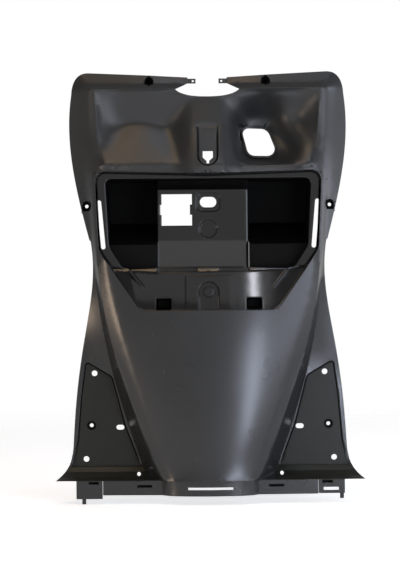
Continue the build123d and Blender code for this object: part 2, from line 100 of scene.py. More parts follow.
# The hand recesses: height, depth and slope at the top of their sloping back, the height of the valley at
# its foot, and the height of the dome's foot with the dome's slopes at the valley and there. Right of the
# column the back slopes more
BACK_TOP = (170.0, -15.5, 0.38)
KEY_BACK_SLOPE = 0.62
VALLEY_Z = 124.0
DOME_FOOT_Z = 56.0
DOME_SLOPE = (0.75, 0.55)
# Middle and half width of the dome's arched top, and how far it drops there
DOME_X = 100.0
DOME_HALF = 60.0
DOME_DROP = 30.0
# The column's cheeks: where they start, where they end in the key scoop, and their slope
CHEEK_X = (25.0, 45.0)
CHEEK_SLOPE = 0.9
# The key scoop is where the right recess is deeper than the left one by this
SCOOP_DEEPER = 1.5

# Spacing of the wings' depth map, and the width over which their shape fades into the rim
GRID = 1.5
FADE = 9.0
# Turns that spread depths into the map's gaps, radii that a blur reaches, and what keeps a place in the
# last cell
FILL_TURNS = 1200
BLUR_REACH = 3
LAST_CELL = 1.001
# Where the recesses' side walls start, and the width over which their wider rounding sets in
SIDE_WALL_X = 112.0
SIDE_WALL_FADE = 25.0

# Depth of the trim seats, how near it their faces lie, and their top
SEAT_Y = 6.0
SEAT_NEAR = 0.5
SEAT_TOP_Z = -225.0
# Flat seats with a channel round them, as depth at z = 0 and slope: the glove box's ledge, the trim seats
# and the bag hook's seat
CHANNELS = ((-22.0, 0.0), (SEAT_Y, 0.0), (-48.312, 0.20382))
# How near a point must be to count as on one of these, how far a wall stands in front of it, and how much
# of its faces' normals points to the front
FLUSH = 0.05
PROUD = 0.3
SEAT_FLAT = 0.95
# The trim seats run out at the foot, so no channel goes below this
CHANNEL_LOW_Z = -380.0

# Screw seats, each with its mirror image: x, z and reach
SCREWS = ((179.0, 0.0, 8.0), (86.0, 184.0, 7.5), (175.0, -323.5, 6.8))
# The hinge pockets at the foot of the glove box, and the foot below the trim seats
HINGE_X = (54.0, 79.0)
HINGE_Z = (-155.0, -136.0)
HINGE_Y = -24.0
TOE_X = 95.0
TOE_Z = (-402.0, -383.0)

# Slots and holes that dark cups close from behind as painted shade, each with its mirror image: x, y
# and z of the wall's back, then a slot's length and height
SLOT_SOCKETS = ((96.0, -34.6, -410.0, 26.0, 7.0), (170.5, -29.4, -405.25, 19.0, 7.0))
SCREW_BOSS = (86.0, 16.6, 184.0)
SOCKET_DEEP = 7.0
SOCKET_WALL = 1.2
SOCKET_EDGE = 0.3
SOCKET_CREASE = radians(40)
BOSS_RADIUS = 4.6
BOSS_SIDES = 32

# How much of a face's normal points to the front or the back: flat to it, half turned, leaning, barely turned
FLAT = 0.9
HALF_TURNED = 0.5
LEANING = 0.3
BARELY = 0.05

# Points nearer than this are one, shorter edges than this are dropped, and turns that split the long ones
WELD = 0.02
THIN = 0.1
SPLIT_TURNS = 8
# Area in square mm below which a facet is too thin to tell how a surface turns
SLIVER = 0.2

# Polypropylene's index of refraction
IOR = 1.49
# Scuffs above the glove box: where they set in and fade out, their height, and half widths from faint to full
SCUFF_IN = (-160.0, -140.0)
SCUFF_OUT = (-130.0, -95.0)
SCUFF_Z = 55.0
SCUFF_HALF = (8.0, 2.0)
# The skin's roughness below and above these heights
GRAIN_Z = (20.0, 70.0)
GRAIN_ROUGH = (0.2, 0.36)
# The push-out pins' marks on the back: their spacing, and the radii of a mark's ring
PIN_SPACING = 55.0
PIN_RING = (4.0, 4.6)

# Softboxes, each named for its power in the stage's settings: place, aim and size in metres, tint, and roll
# in degrees
SOFTBOXES = (
    ("streak", (0.32, -0.72, -0.33), (0.056, -0.059, -0.284), (0.035, 0.34), "#dfe9ff", 19.0),
    ("window", (1.55, -1.56, 0.15), (0.0, 0.0, -0.1), (1.5, 1.1), "#dfe9ff", 0.0),
    ("far_window", (1.9, 0.5, 0.3), (0.0, 0.0, -0.1), (1.0, 1.2), "#dfe9ff", 0.0),
    ("high_window", (1.7, 0.4, 0.8), (0.03, 0.0, 0.12), (0.7, 0.7), "#d6e4ff", 0.0),
    ("front", (0.0, -2.5, 0.42), (0.0, 0.0, -0.07), (1.2, 0.4), "#ffffff", 0.0),
    ("skylight", (0.35, -0.38, 1.8), (0.08, 0.0, 0.05), (0.7, 0.3), "#dce8ff", 0.0),
    ("ceiling", (-0.45, -0.7, 1.9), (-0.1, 0.0, 0.08), (0.9, 0.9), "#ffdcae", 0.0),
    ("side", (-1.36, -1.0, -0.26), (0.0, 0.0, -0.15), (0.5, 0.32), "#ffe2c6", 0.0),
    ("strip", (0.078, -0.38, 0.24), (0.064, -0.03, -0.115), (0.012, 0.14), "#f2f6ff", 0.0),
    ("scoop_fill", (-0.02, -0.33, 0.19), (0.0, -0.03, -0.11), (0.26, 0.07), "#ffffff", 0.0),
)
# The room's light: between which heights of the gaze it falls, what is left of it then, and its shares at
# the far left and right
ROOM_RISE = (-0.1, 0.9)
ROOM_TOP = 0.22
ROOM_SIDE = 0.9
ROOM_SHARES = (0.5, 1.2)
# The floor's sides, the shares of its radius between which it fades, and its glow in mirrors and for the eye
FLOOR_SIDES = 96
FLOOR_FADE = (0.3, 0.95)
FLOOR_GLOW = (0.4, 0.6)
# The camera's sensor in mm
SENSOR = 36.0


def linear(text):
    """An sRGB hex colour as linear red, green and blue."""
    shares = [int(text[i:i + 2], 16) / 255 for i in (1, 3, 5)]
    return [s / 12.92 if s <= 0.04045 else ((s + 0.055) / 1.055) ** 2.4 for s in shares]


def colour(name, words, text):
    return bpy.props.FloatVectorProperty(name=name, description=words, default=linear(text), subtype="COLOR",
                                         size=3, min=0, max=1)


def measure(name, words, value):
    return bpy.props.FloatProperty(name=name, description=words, default=value * MM, unit="LENGTH")


def rounds(name, words, value):
    return bpy.props.IntProperty(name=name, description=words, default=value)


def watts(name, words, value):
    return bpy.props.FloatProperty(name=name, description=words, default=value, unit="POWER")


class MouldingSettings(bpy.types.PropertyGroup):
    """Sizes and colours of the moulding."""
    facet: measure("Facet", "Longest edge of the refined mesh", 8)
    crease: bpy.props.FloatProperty(name="Crease", description="Edges sharper than this stay crisp",
                                    default=radians(38), subtype="ANGLE")
    skin_turns: rounds("Skin turns", "Turns that round the skin's creases", 8)
    wing_round: measure("Wing round", "How far the hand recesses' creases spread", 6)
    side_round: measure("Side round", "The same at the recesses' side walls", 11)
    key_round: measure("Key round", "The same in the key scoop", 9)
    wing_turns: rounds("Wing turns", "Turns that even out the wings' facets", 12)
    edge_round: measure("Edge round", "Radius that catches light on crisp edges", 1.6)
    box_round: measure("Box round", "The same on the glove box", 3.2)
    front_round: measure("Box front round", "The same on the box between the pockets", 4)
    channel_wide: measure("Channel width", "Width of the channels round the seats", 2.4)
    channel_deep: measure("Channel depth", "Depth of the channels round the seats", 2.2)
    skin: colour("Skin", "Grained polypropylene of the outer skin", "#1e1f20")
    scuff: colour("Scuffs", "Rubbed plastic along the glove box's upper lip", "#5c5a55")
    box: colour("Glove box", "Polished polypropylene of the glove box", "#0b0b0c")
    # Painted shade: a near-black colour for the pockets, hinge pockets, screw seats and the cups behind slots
    # and holes
    pocket: colour("Pockets", "Unpolished polypropylene deep in the glove box", "#080808")
    plate: colour("Trim seats", "Etched polypropylene of the trim plates' seats", "#1c1d19")
    back: colour("Back", "Plain polypropylene of the hidden side", "#121214")


class StageSettings(bpy.types.PropertyGroup):
    """Camera, floor and lights."""
    distance: measure("Camera distance", "From the lens to the side screws", 3000)
    lean: bpy.props.FloatProperty(name="Camera roll", description="Lean of the part in the picture",
                                  default=radians(0.5), subtype="ANGLE")
    floor_radius: measure("Floor radius", "The floor fades out here", 2600)
    floor: colour("Floor", "Pale matt floor", "#f2f2f2")
    streak: watts("Streak", "Power of the tall lamp that the spine mirrors", 1.45)
    window: watts("Window", "Power of the cool softbox right of the camera", 19.0)
    far_window: watts("Far window", "Power of the cool softbox at the far right", 6.0)
    high_window: watts("High window", "Power of the cool softbox high at the right", 5.0)
    front: watts("Front", "Power of the wide softbox just above the camera", 1.0)
    skylight: watts("Skylight", "Power of the cool softbox above the camera", 3.6)
    ceiling: watts("Ceiling", "Power of the warm softbox overhead", 9.0)
    side: watts("Side", "Power of the warm softbox at the left", 5.4)
    strip: watts("Strip", "Power of the narrow lamp that the scoop mirrors", 0.12)
    scoop_fill: watts("Scoop fill", "Power of the low lamp that the scoop mirrors", 0.03)
    room: bpy.props.FloatProperty(name="Room", description="Brightness of the room in front of the part",
                                  default=0.95)


def add(tree, kind, links=None, **settings):
    """Adds a node, sets its settings, and sets or links its inputs, which are given by name or number."""
    node = tree.nodes.new(kind)
    for key, value in settings.items():
        setattr(node, key, value)
    for key, value in (links or {}).items():
        if isinstance(value, bpy.types.NodeSocket):
            tree.links.new(value, node.inputs[key])
        else:
            node.inputs[key].default_value = value
    return node


def empty_material(name):
    material = bpy.data.materials.new(name)
    material.use_nodes = True
    material.node_tree.nodes.clear()
    return material, material.node_tree


def rgba(value):
    return (*value, 1.0)


def hairlines(tree, place, spacing, length, turn, level):
    """Share of the surface under fine upright lines, leant by turn: spacing apart and length long."""
    spread = add(tree, "ShaderNodeMapping", {"Vector": place, "Rotation": (0, turn, 0),
                                             "Scale": (1 / spacing, 1 / spacing, 1 / length)})
    noise = add(tree, "ShaderNodeTexNoise", {"Vector": spread.outputs["Vector"], "Scale": 1.0, "Detail": 1.0})
    return add(tree, "ShaderNodeMapRange", {"Value": noise.outputs["Fac"], "From Min": level,
                                            "From Max": level + 0.06}).outputs["Result"]


def rounded(tree, radius, height, strength, depth):
    """A normal with broken edges and a relief."""
    edges = add(tree, "ShaderNodeBevel", {"Radius": radius}, samples=6).outputs["Normal"]
    return add(tree, "ShaderNodeBump", {"Height": height, "Strength": strength, "Distance": depth,
                                        "Normal": edges}).outputs["Normal"]


def grained_polypropylene(settings):
    """Outer skin: black polypropylene from a spark-eroded mould, a fine grain that scatters the light
    into broad soft highlights, with pale hairline scuffs along the glove box's upper lip."""
    material, tree = empty_material("grained_polypropylene")
    place = add(tree, "ShaderNodeTexCoord").outputs["Object"]
    # The real grain is 0.3 mm, drawn at 1 mm so that it shows
    grain = add(tree, "ShaderNodeTexNoise", {"Vector": place, "Scale": 1 / (1.0 * MM), "Detail": 2.0})
    cloud = add(tree, "ShaderNodeTexNoise", {"Vector": place, "Scale": 1 / (60 * MM), "Detail": 3.0})
    dark, pale = (rgba([value * share for value in settings.skin]) for share in (0.8, 1.25))
    shade = add(tree, "ShaderNodeMix", {"Factor": cloud.outputs["Fac"], 6: dark, 7: pale}, data_type="RGBA")
    # Knees and bags rub the edge above the glove box, most of all at its left end
    axes = add(tree, "ShaderNodeSeparateXYZ", {"Vector": place})
    left = add(tree, "ShaderNodeMapRange", {"Value": axes.outputs["X"], "From Min": SCUFF_IN[0] * MM,
                                            "From Max": SCUFF_IN[1] * MM})
    right = add(tree, "ShaderNodeMapRange", {"Value": axes.outputs["X"], "From Min": SCUFF_OUT[0] * MM,
                                             "From Max": SCUFF_OUT[1] * MM, "To Min": 0.55, "To Max": 0.02})
    level = add(tree, "ShaderNodeMath", {0: axes.outputs["Z"], 1: SCUFF_Z * MM}, operation="SUBTRACT")
    level = add(tree, "ShaderNodeMath", {0: level.outputs["Value"]}, operation="ABSOLUTE")
    above = add(tree, "ShaderNodeMapRange", {"Value": level.outputs["Value"], "From Min": SCUFF_HALF[0] * MM,
                                             "From Max": SCUFF_HALF[1] * MM})
    rubbed = add(tree, "ShaderNodeMath", {0: left.outputs["Result"], 1: right.outputs["Result"]},
                 operation="MULTIPLY")
    rubbed = add(tree, "ShaderNodeMath", {0: rubbed.outputs["Value"], 1: above.outputs["Result"]},
                 operation="MULTIPLY").outputs["Value"]
    rubs = hairlines(tree, place, 0.9 * MM, 9 * MM, radians(14), 0.56)
    rubs = add(tree, "ShaderNodeMath", {0: rubs, 1: rubbed}, operation="MULTIPLY").outputs["Value"]
    strays = hairlines(tree, place, 1.5 * MM, 20 * MM, radians(52), 0.79)
    marks = add(tree, "ShaderNodeMath", {0: rubs, 1: strays}, operation="MAXIMUM").outputs["Value"]
    worn = add(tree, "ShaderNodeMix", {"Factor": marks, 6: shade.outputs[2], 7: rgba(settings.scuff)},
               data_type="RGBA")
    # The mould is etched a little deeper above the glove box
    high = add(tree, "ShaderNodeMapRange", {"Value": axes.outputs["Z"], "From Min": GRAIN_Z[0] * MM,
                                            "From Max": GRAIN_Z[1] * MM, "To Min": GRAIN_ROUGH[0],
                                            "To Max": GRAIN_ROUGH[1]})
    rough = add(tree, "ShaderNodeMath", {0: cloud.outputs["Fac"], 1: 0.09, 2: high.outputs["Result"]},
                operation="MULTIPLY_ADD")
    dull = add(tree, "ShaderNodeMapRange", {"Value": marks, "To Min": rough.outputs["Value"], "To Max": 0.4})
    shader = add(tree, "ShaderNodeBsdfPrincipled",
                 {"Base Color": worn.outputs[2], "Roughness": dull.outputs["Result"], "IOR": IOR,
                  "Normal": rounded(tree, settings.edge_round, grain.outputs["Fac"], 0.12, 0.1 * MM)})
    add(tree, "ShaderNodeOutputMaterial", {"Surface": shader.outputs["BSDF"]})
    return material


def polished_polypropylene(settings, name="polished_polypropylene", radius=None):
    """Glove box: the same plastic from a polished mould, dark and glossy, with a faint ripple."""
    material, tree = empty_material(name)
    place = add(tree, "ShaderNodeTexCoord").outputs["Object"]
    ripple = add(tree, "ShaderNodeTexNoise", {"Vector": place, "Scale": 1 / (22 * MM), "Detail": 1.0})
    smear = add(tree, "ShaderNodeTexNoise", {"Vector": place, "Scale": 1 / (35 * MM), "Detail": 4.0})
    rough = add(tree, "ShaderNodeMapRange", {"Value": smear.outputs["Fac"], "To Min": 0.05, "To Max": 0.11})
    strays = hairlines(tree, place, 1.2 * MM, 30 * MM, radians(75), 0.76)
    dull = add(tree, "ShaderNodeMapRange", {"Value": strays, "To Min": rough.outputs["Result"],
                                            "To Max": 0.5})
    normal = rounded(tree, radius or settings.box_round, ripple.outputs["Fac"], 0.1, 0.5 * MM)
    shader = add(tree, "ShaderNodeBsdfPrincipled",
                 {"Base Color": rgba(settings.box), "Roughness": dull.outputs["Result"], "IOR": IOR,
                  "Normal": normal})
    add(tree, "ShaderNodeOutputMaterial", {"Surface": shader.outputs["BSDF"]})
    return material


def drawn_polypropylene(settings):
    """Front of the box in the glove box: polished too, with edges that the deep draw has rounded."""
    return polished_polypropylene(settings, "drawn_polypropylene", settings.front_round)


def unpolished_polypropylene(settings):
    """Pockets: painted shade, a near-black rough face that hardly mirrors anything, standing in for the shade
    deep in the glove box.
    """
    material, tree = empty_material("unpolished_polypropylene")
    place = add(tree, "ShaderNodeTexCoord").outputs["Object"]
    grain = add(tree, "ShaderNodeTexNoise", {"Vector": place, "Scale": 1 / (1.2 * MM), "Detail": 3.0})
    cloud = add(tree, "ShaderNodeTexNoise", {"Vector": place, "Scale": 1 / (40 * MM), "Detail": 2.0})
    rough = add(tree, "ShaderNodeMapRange", {"Value": cloud.outputs["Fac"], "To Min": 0.5, "To Max": 0.7})
    shader = add(tree, "ShaderNodeBsdfPrincipled",
                 {"Base Color": rgba(settings.pocket), "Roughness": rough.outputs["Result"], "IOR": IOR,
                  # A low specular level keeps the face from mirroring the room: painted shade
                  "Specular IOR Level": 0.08,
                  "Normal": rounded(tree, settings.edge_round, grain.outputs["Fac"], 0.3, 0.15 * MM)})
    add(tree, "ShaderNodeOutputMaterial", {"Surface": shader.outputs["BSDF"]})
    return material


def etched_polypropylene(settings):
    """Seats of the trim plates: a coarser etched mould face, flat and a little greenish."""
    material, tree = empty_material("etched_polypropylene")
    place = add(tree, "ShaderNodeTexCoord").outputs["Object"]
    # The real etching is 0.4 mm, drawn at 1.4 mm so that it shows
    grain = add(tree, "ShaderNodeTexNoise", {"Vector": place, "Scale": 1 / (1.4 * MM), "Detail": 3.0})
    cloud = add(tree, "ShaderNodeTexNoise", {"Vector": place, "Scale": 1 / (45 * MM), "Detail": 3.0})
    dark, pale = (rgba([value * share for value in settings.plate]) for share in (0.75, 1.3))
    shade = add(tree, "ShaderNodeMix", {"Factor": cloud.outputs["Fac"], 6: dark, 7: pale}, data_type="RGBA")
    rough = add(tree, "ShaderNodeMapRange", {"Value": cloud.outputs["Fac"], "To Min": 0.36, "To Max": 0.48})
    shader = add(tree, "ShaderNodeBsdfPrincipled",
                 {"Base Color": shade.outputs[2], "Roughness": rough.outputs["Result"], "IOR": IOR,
                  "Specular IOR Level": 0.25,
                  "Normal": rounded(tree, settings.edge_round, grain.outputs["Fac"], 0.15, 0.12 * MM)})
    add(tree, "ShaderNodeOutputMaterial", {"Surface": shader.outputs["BSDF"]})
    return material


def plain_polypropylene(settings):
    """Hidden side: an untextured mould face, satin black, with faint marks of the pins that push it out."""
    material, tree = empty_material("plain_polypropylene")
    place = add(tree, "ShaderNodeTexCoord").outputs["Object"]
    cloud = add(tree, "ShaderNodeTexNoise", {"Vector": place, "Scale": 1 / (50 * MM), "Detail": 3.0})
    rough = add(tree, "ShaderNodeMapRange", {"Value": cloud.outputs["Fac"], "To Min": 0.3, "To Max": 0.45})
    front = add(tree, "ShaderNodeMapping", {"Vector": place, "Rotation": (radians(-90), 0, 0)})
    pins = add(tree, "ShaderNodeTexVoronoi", {"Vector": front.outputs["Vector"], "Randomness": 0.3,
                                              "Scale": 1 / (PIN_SPACING * MM)}, voronoi_dimensions="2D")
    pressed = add(tree, "ShaderNodeMapRange", {"Value": pins.outputs["Distance"],
                                               "From Min": PIN_RING[0] / PIN_SPACING,
                                               "From Max": PIN_RING[1] / PIN_SPACING})
    shader = add(tree, "ShaderNodeBsdfPrincipled",
                 {"Base Color": rgba(settings.back), "IOR": IOR, "Roughness": rough.outputs["Result"],
                  "Normal": rounded(tree, settings.edge_round, pressed.outputs["Result"], 0.6, 0.3 * MM)})
    add(tree, "ShaderNodeOutputMaterial", {"Surface": shader.outputs["BSDF"]})
    return material


def choose(piece):
    """Selects one object alone and makes it active."""
    bpy.ops.object.select_all(action="DESELECT")
    bpy.context.view_layer.objects.active = piece
    piece.select_set(True)


def select_long_edges(mesh, limit):
    """Selects the edges longer than limit and says how many there are."""
    points = np.empty(len(mesh.vertices) * 3)
    mesh.vertices.foreach_get("co", points)
    ends = np.empty(len(mesh.edges) * 2, dtype=int)
    mesh.edges.foreach_get("vertices", ends)
    points = points.reshape(-1, 3)
    ends = ends.reshape(-1, 2)
    long = np.linalg.norm(points[ends[:, 0]] - points[ends[:, 1]], axis=1) > limit
    mesh.edges.foreach_set("select", long)
    return int(long.sum())


def triangulate():
    bpy.ops.mesh.select_all(action="SELECT")
    bpy.ops.mesh.quads_convert_to_tris(quad_method="SHORTEST_DIAGONAL", ngon_method="BEAUTY")


def weld(piece):
    """Merges the loose triangles."""
    choose(piece)
    bpy.ops.mesh.customdata_custom_splitnormals_clear()
    bpy.ops.object.mode_set(mode="EDIT")
    bpy.ops.mesh.select_all(action="SELECT")
    bpy.ops.mesh.remove_doubles(threshold=WELD * MM)
    bpy.ops.mesh.dissolve_degenerate(threshold=THIN * MM)
    triangulate()
    bpy.ops.object.mode_set(mode="OBJECT")


def sink_channel(piece, seat_y, rise, settings):
    """Sinks a channel into a flat seat, along the foot of the wall that stands round it."""
    mesh = piece.data
    _, y, z = places(mesh).T
    flush = np.abs(y - seat_y - rise * z) < FLUSH
    corners, normals = np.empty(len(mesh.loops), dtype=int), np.empty(len(mesh.polygons) * 3)
    mesh.loops.foreach_get("vertex_index", corners)
    mesh.polygons.foreach_get("normal", normals)
    seat = np.all(flush[corners.reshape(-1, 3)], axis=1) & (normals[1::3] < -SEAT_FLAT)
    choose(piece)
    bpy.ops.object.mode_set(mode="EDIT")
    bpy.ops.mesh.select_mode(type="FACE")
    bpy.ops.mesh.select_all(action="DESELECT")
    bpy.ops.object.mode_set(mode="OBJECT")
    mesh.polygons.foreach_set("select", seat)
    bpy.ops.object.mode_set(mode="EDIT")
    bpy.ops.mesh.inset(thickness=settings.channel_wide, depth=0.0)
    triangulate()
    bpy.ops.object.mode_set(mode="OBJECT")
    points = places(mesh)
    ends = np.empty(len(mesh.edges) * 2, dtype=int)
    mesh.edges.foreach_get("vertices", ends)
    ends = np.concatenate((ends.reshape(-1, 2), ends.reshape(-1, 2)[:, ::-1]))
    behind = points[:, 1] - seat_y - rise * points[:, 2]
    feet = np.unique(ends[(np.abs(behind[ends[:, 0]]) < FLUSH) & (behind[ends[:, 1]] < -PROUD), 0])
    points[feet[points[feet, 2] > CHANNEL_LOW_Z], 1] += settings.channel_deep / MM
    mesh.vertices.foreach_set("co", (points * MM).ravel())
    mesh.update()


def refine(piece, facet):
    """Splits every edge that is longer than a facet."""
    choose(piece)
    bpy.ops.object.mode_set(mode="EDIT")
    bpy.ops.mesh.select_mode(type="EDGE")
    for _ in range(SPLIT_TURNS):
        bpy.ops.mesh.select_all(action="DESELECT")
        bpy.ops.object.mode_set(mode="OBJECT")
        count = select_long_edges(piece.data, facet)
        bpy.ops.object.mode_set(mode="EDIT")
        if not count:
            break
        bpy.ops.mesh.subdivide(number_cuts=1)
        triangulate()
    bpy.ops.object.mode_set(mode="OBJECT")


def places(mesh):
    """Places of a mesh's points in mm, one row each."""
    points = np.empty(len(mesh.vertices) * 3)
    mesh.vertices.foreach_get("co", points)
    return points.reshape(-1, 3) / MM


def select_points(piece, chosen):
    """Selects exactly these points of a piece and leaves it in edit mode."""
    choose(piece)
    bpy.ops.object.mode_set(mode="EDIT")
    bpy.ops.mesh.select_mode(type="VERT")
    bpy.ops.mesh.select_all(action="DESELECT")
    bpy.ops.object.mode_set(mode="OBJECT")
    piece.data.vertices.foreach_set("select", chosen)
    bpy.ops.object.mode_set(mode="EDIT")


def crisp_points(mesh, crease):
    """Tells which points lie where the surface turns by more than crease from their widest facet."""
    count = len(mesh.polygons)
    areas, normals, corners = np.empty(count), np.empty(count * 3), np.empty(count * 3, dtype=int)
    mesh.polygons.foreach_get("area", areas)
    mesh.polygons.foreach_get("normal", normals)
    mesh.loops.foreach_get("vertex_index", corners)
    rising = np.argsort(areas)
    points = corners.reshape(-1, 3)[rising].ravel()
    facing = np.repeat(normals.reshape(-1, 3)[rising], 3, axis=0)
    wide = np.repeat(areas[rising] > SLIVER * MM ** 2, 3)
    widest = np.zeros((len(mesh.vertices), 3))
    widest[points] = facing
    turn = np.ones(len(mesh.vertices))
    np.minimum.at(turn, points[wide], np.einsum("ij,ij->i", facing, widest[points])[wide])
    return turn < cos(crease)


def soften(piece, name, turns):
    """Smooths the selected points of a piece that is in edit mode."""
    piece.vertex_groups.new(name=name)
    bpy.ops.object.vertex_group_assign()
    bpy.ops.object.mode_set(mode="OBJECT")
    smooth = piece.modifiers.new(name, "SMOOTH")
    smooth.vertex_group = name
    smooth.iterations = turns
    bpy.ops.object.modifier_apply(modifier=smooth.name)


def in_lip(x, z, margin=0.0):
    """Tells which places lie inside the glove box's lip, seen from the front."""
    half = np.interp(z, LIP_Z, LIP_X) + margin
    return (z > LIP_Z[0] - margin) & (z < LIP_Z[-1] + margin) & (np.abs(x) < half)


def shape_skin(piece, settings):
    """Rounds the shallow creases of the skin and leaves the glove box as it is."""
    x, _, z = places(piece.data).T
    select_points(piece, ~crisp_points(piece.data, settings.crease) & ~in_lip(x, z, LIP_MARGIN))
    soften(piece, "skin", settings.skin_turns)


def depth_map(tree, xs, zs, way):
    """Depths in mm, over a grid, at which rays along +Y or -Y meet the panel, with the gaps marked nan."""
    depth = np.full((len(zs), len(xs)), np.nan)
    for row, z in enumerate(zs):
        for column, x in enumerate(xs):
            place = tree.ray_cast((x * MM, -way, z * MM), (0, way, 0))[0]
            if place:
                depth[row, column] = place.y / MM
    return depth


def fill(depth, gaps):
    """Spreads the depths round the gaps into them."""
    depth = np.where(gaps, np.mean(depth[~gaps]), depth)
    for _ in range(FILL_TURNS):
        ring = np.pad(depth, 1, mode="edge")
        mean = (ring[:-2, 1:-1] + ring[2:, 1:-1] + ring[1:-1, :-2] + ring[1:-1, 2:]) / 4
        depth = np.where(gaps, mean, depth)
    return depth


def blur(depth, radius):
    """A depth map with its creases spread over radius, in grid steps."""
    reach = int(BLUR_REACH * radius)
    weights = np.exp(-(np.arange(-reach, reach + 1) / radius) ** 2 / 2)
    for axis in (0, 1):
        edges = [(reach, reach) if side == axis else (0, 0) for side in (0, 1)]
        wide = np.pad(depth, edges, mode="reflect", reflect_type="odd")
        depth = np.apply_along_axis(np.convolve, axis, wide, weights / weights.sum(), "valid")
    return depth


def read_map(grid, x, z):
    """Values of a grid over the wings at the given places."""
    u = np.clip((x + WING_X) / GRID, 0, grid.shape[1] - LAST_CELL)
    v = np.clip((z - WING_Z[0]) / GRID, 0, grid.shape[0] - LAST_CELL)
    i, j = v.astype(int), u.astype(int)
    s, t = u - j, v - i
    low = grid[i, j] * (1 - s) + grid[i, j + 1] * s
    high = grid[i + 1, j] * (1 - s) + grid[i + 1, j + 1] * s
    return low * (1 - t) + high * t


def in_hook(x, z):
    """Tells which places lie in the bag hook's seat."""
    return (np.abs(x) < HOOK[0]) & (z < HOOK[1])


def in_lock(x, z):
    """Tells which places lie in the lock's hole or on its raised rim."""
    across = np.abs(x - LOCK[0] + LOCK_LEAN * (z - LOCK[1]))
    return np.maximum(across, np.abs(z - LOCK[1])) < LOCK_HALF


def fade(value):
    """Rises gently from 0 at 0 to 1 at 1."""
    value = np.clip(value, 0, 1)
    return value * value * (3 - 2 * value)


def recess_depths(x, z, depth):
    """Depths in mm of the hand recesses beside the column: a sloping back, a dome and the column's cheek."""
    back = BACK_TOP[1] + np.where(x < 0, BACK_TOP[2], KEY_BACK_SLOPE) * (BACK_TOP[0] - z)
    valley_y = BACK_TOP[1] + BACK_TOP[2] * (BACK_TOP[0] - VALLEY_Z)
    high = VALLEY_Z - DOME_FOOT_Z
    drop = DOME_DROP * ((np.abs(x) - DOME_X) / DOME_HALF) ** 2 * np.clip((z - DOME_FOOT_Z) / high, 0, 1)
    down = (VALLEY_Z - z - drop) / high
    dome = valley_y - high * (DOME_SLOPE[0] * down - (DOME_SLOPE[0] - DOME_SLOPE[1]) / 2 * down ** 2)
    column = depth[:, np.argmin(np.abs(x[0] + CHEEK_X[0]))][:, None]
    cheek = column + CHEEK_SLOPE * (np.abs(x) - CHEEK_X[0])
    scoop = (x > 0) & (depth > depth[:, ::-1] + SCOOP_DEEPER)
    recess = np.where(scoop, np.inf, np.minimum(back, dome))
    recess = np.minimum(recess, np.where(scoop & (x > CHEEK_X[1]), np.inf, cheek))
    return np.where(np.abs(x) < CHEEK_X[0], np.inf, recess)


def shape_wings(piece, settings):
    """Gives the column, the hand recesses and the key scoop their flowing shape, on both sides of the wall.

    The panel's depth is mapped over a grid, capped by the recesses' own shape and blurred, and then every
    point moves to the depth that the map gives at its place."""
    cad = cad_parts[NODE].data
    tree = BVHTree.FromPolygons([point.co for point in cad.vertices],
                                [face.vertices for face in cad.polygons])
    xs = np.arange(-WING_X, WING_X + GRID / 2, GRID)
    zs = np.arange(WING_Z[0], WING_Z[1] + GRID / 2, GRID)
    grid_x, grid_z = np.meshgrid(xs, zs)
    edge = np.minimum(WING_X - np.abs(grid_x), np.minimum(grid_z - WING_Z[0], WING_Z[1] - grid_z))
    key = fade(KEY_REACH - np.hypot(grid_x - KEY[0], grid_z - KEY[1]) / KEY[2])
    features = in_hook(grid_x, grid_z) | in_lock(grid_x, grid_z)
    mesh = piece.data
    x, _, z = places(mesh).T
    wings = (np.abs(x) < WING_X) & (z > WING_Z[0]) & (z < WING_Z[1])
    kept = in_hook(x, z) | in_lock(x, z)
    select_points(piece, wings & ~kept & ((np.abs(x) > NOTCH[0]) | (z < NOTCH[1])))
    soften(piece, "wings", settings.wing_turns)
    x, y, z = places(mesh).T
    normals = np.empty(len(mesh.vertices) * 3)
    mesh.vertices.foreach_get("normal", normals)
    normals = normals.reshape(-1, 3)
    wings = (np.abs(x) < WING_X) & (z > WING_Z[0]) & (z < WING_Z[1])
    kept = in_hook(x, z) | in_lock(x, z)
    moved = y.copy()
    for way in (1, -1):
        depth = depth_map(tree, xs, zs, way)
        depth = fill(depth, features | np.isnan(depth))
        if way == 1:
            deepest = recess_depths(grid_x, grid_z, depth)
        flowing = np.minimum(depth, deepest + (0 if way == 1 else WALL))
        wide, tight, side = (blur(flowing, size / MM / GRID)
                             for size in (settings.wing_round, settings.key_round, settings.side_round))
        wide = wide + fade((np.abs(grid_x) - SIDE_WALL_X) / SIDE_WALL_FADE) * (side - wide)
        soft = depth + fade(edge / FADE) * (wide + key * (tight - wide) - depth)
        if way == 1:
            slope_z, slope_x = (read_map(slope, x, z) for slope in np.gradient(tight, GRID))
            facing = normals[:, 0] * slope_x - normals[:, 1] + normals[:, 2] * slope_z
            moved = np.where(kept, y + read_map(soft - depth, x, z), moved)
        moved = np.where(~kept & (facing * way > 0), read_map(soft, x, z), moved)
    points = np.stack((x, np.where(wings, moved, y), z), axis=1) * MM
    mesh.vertices.foreach_set("co", points.ravel())
    mesh.update()


